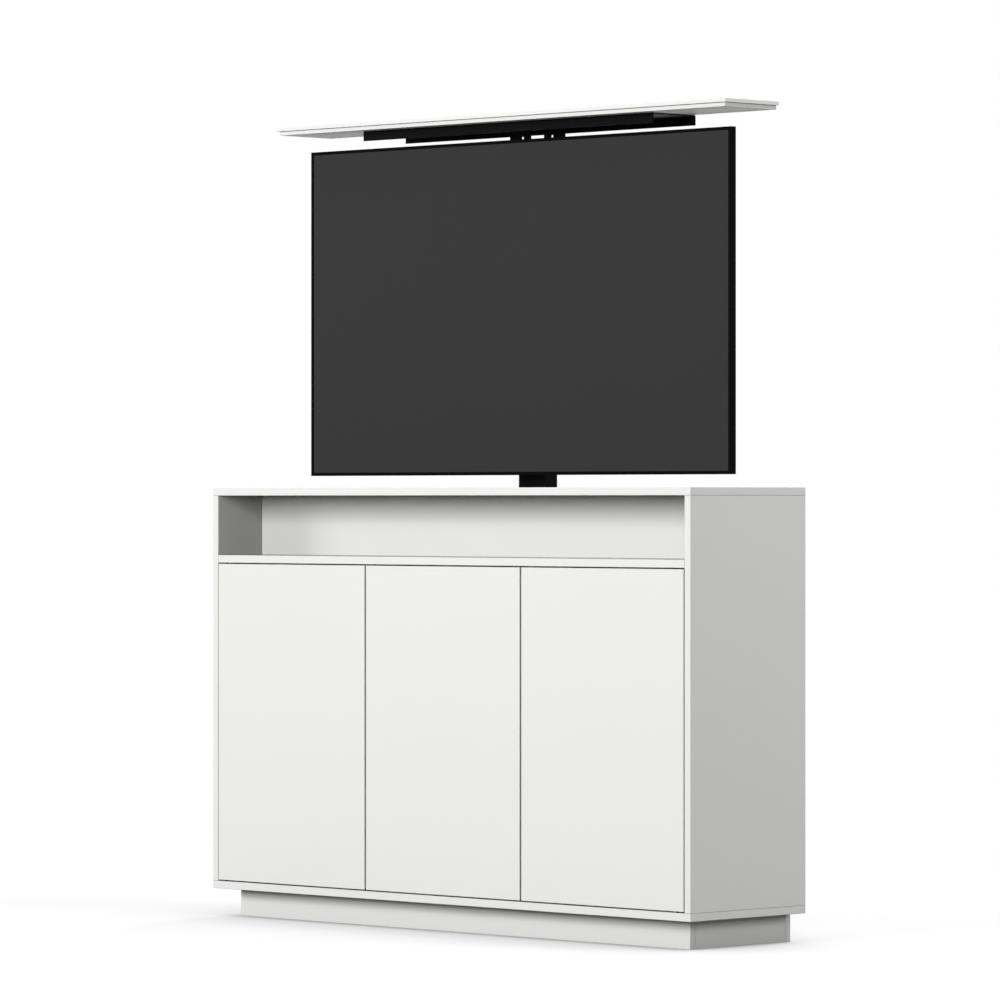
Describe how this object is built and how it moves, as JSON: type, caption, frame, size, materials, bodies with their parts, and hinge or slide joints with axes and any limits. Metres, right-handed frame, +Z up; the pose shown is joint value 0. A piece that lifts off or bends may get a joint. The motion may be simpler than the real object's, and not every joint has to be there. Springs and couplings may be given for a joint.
{
  "type": "tv lift cabinet",
  "caption": "White sideboard with hinged push-open doors, an open shelf and a motorised column that raises a flat television and its lid strip out of the top.",
  "frame": {"origin": "on the floor under the middle of the cabinet's footprint", "axes": "+X to the right seen from the front, +Y to the back, +Z up"},
  "size_m": [1.65, 0.4, 1.995],
  "materials": {
    "white_lacquer": "satin white lacquer on fibreboard",
    "white_back_board": "matt white faced board",
    "black_steel": "fine black powder coat",
    "zinc_steel": "zinc plated",
    "bright_steel": "ground, oiled",
    "cast_aluminium": "die cast",
    "nut_brass": "machined",
    "black_plastic": "fine textured",
    "grey_plastic": "moulded",
    "bezel_plastic": "satin black",
    "screen_face": "anti-glare dark screen, switched off"
  },
  "bodies": {
    "cabinet": {"plinth_front": "white_lacquer", "plinth_back": "white_lacquer", "plinth_side_left": "white_lacquer", "plinth_side_right": "white_lacquer", "plinth_rib": "white_lacquer", "bottom_panel": "white_lacquer", "side_panel_left": "white_lacquer", "side_panel_right": "white_lacquer", "top_panel": "white_lacquer", "partition_panel": "white_lacquer", "niche_floor": "white_lacquer", "divider_left": "white_lacquer", "divider_right": "white_lacquer", "shelves_left": "white_lacquer", "shelves_middle": "white_lacquer", "shelves_right": "white_lacquer", "shelf_supports": "zinc_steel", "back_panel": "white_back_board", "back_battens": "white_lacquer", "lift_rail": "white_lacquer", "carcass_screws": "zinc_steel", "column_bracket": "black_steel", "outer_column": "black_steel", "outer_glide": "black_plastic", "lift_base_plate": "black_steel", "gearbox": "cast_aluminium", "drive_motor": "black_steel", "control_box": "black_plastic", "power_inlet": "black_plastic", "door_pivot_pins": "black_steel", "latch_housings": "grey_plastic"},
    "lift_head": {"inner_column": "black_steel", "inner_glide": "black_plastic", "head_block": "black_steel", "lid_bar": "black_steel", "lid_plate_left": "black_steel", "lid_plate_right": "black_steel", "lid_channel": "black_steel", "lid_lower_board": "white_lacquer", "lid_upper_board": "white_lacquer", "lid_screws": "zinc_steel", "spine_plate": "black_steel", "mount_crossbars": "black_steel", "mount_rails": "black_steel", "mount_bolts": "zinc_steel", "tv_bezel": "bezel_plastic", "tv_screen": "screen_face", "tv_display_module": "black_plastic", "tv_rear_cover": "black_plastic"},
    "lift_middle": {"middle_column": "black_steel", "middle_glides": "black_plastic", "spindle_nut": "nut_brass"},
    "spindle": {"spindle": "bright_steel"},
    "door_left": {"door_left": "white_lacquer"},
    "door_middle": {"door_middle": "white_lacquer"},
    "door_right": {"door_right": "white_lacquer"},
    "latch_left": {"latch_plunger_left": "grey_plastic"},
    "latch_middle": {"latch_plunger_middle": "grey_plastic"},
    "latch_right": {"latch_plunger_right": "grey_plastic"}
  },
  "joints": [
    {"name": "lift_travel", "type": "slide", "parent": "cabinet", "child": "lift_head", "axis": [0, 0, 1], "range_m": [-0.915, 0]},
    {"name": "lift_stage", "type": "slide", "parent": "cabinet", "child": "lift_middle", "axis": [0, 0, 1], "range_m": [-0.458, 0.0005]},
    {"name": "spindle_turn", "type": "hinge", "parent": "cabinet", "child": "spindle", "pos_m": [0, 0.1325, 0.5], "axis": [0, 0, 1], "range_deg": [-13730, 5]},
    {"name": "door_left_swing", "type": "hinge", "parent": "cabinet", "child": "door_left", "pos_m": [-0.7798, -0.1935, 0.49], "axis": [0, 0, -1], "range_deg": [0, 100]},
    {"name": "door_middle_swing", "type": "hinge", "parent": "cabinet", "child": "door_middle", "pos_m": [-0.24117, -0.1935, 0.49], "axis": [0, 0, -1], "range_deg": [0, 100]},
    {"name": "door_right_swing", "type": "hinge", "parent": "cabinet", "child": "door_right", "pos_m": [0.778, -0.1935, 0.49], "axis": [0, 0, 1], "range_deg": [0, 100]},
    {"name": "latch_left_press", "type": "slide", "parent": "cabinet", "child": "latch_left", "axis": [0, 1, 0], "range_m": [0, 0.0034], "stiffness_N_per_m": 400},
    {"name": "latch_middle_press", "type": "slide", "parent": "cabinet", "child": "latch_middle", "axis": [0, 1, 0], "range_m": [0, 0.0034], "stiffness_N_per_m": 400},
    {"name": "latch_right_press", "type": "slide", "parent": "cabinet", "child": "latch_right", "axis": [0, 1, 0], "range_m": [0, 0.0034], "stiffness_N_per_m": 400}
  ],
  "couplings": [
    {"joint": "lift_stage", "follows": "lift_travel", "ratio": 0.5},
    {"joint": "spindle_turn", "follows": "lift_travel", "rad_per_m": 261.8}
  ]
}
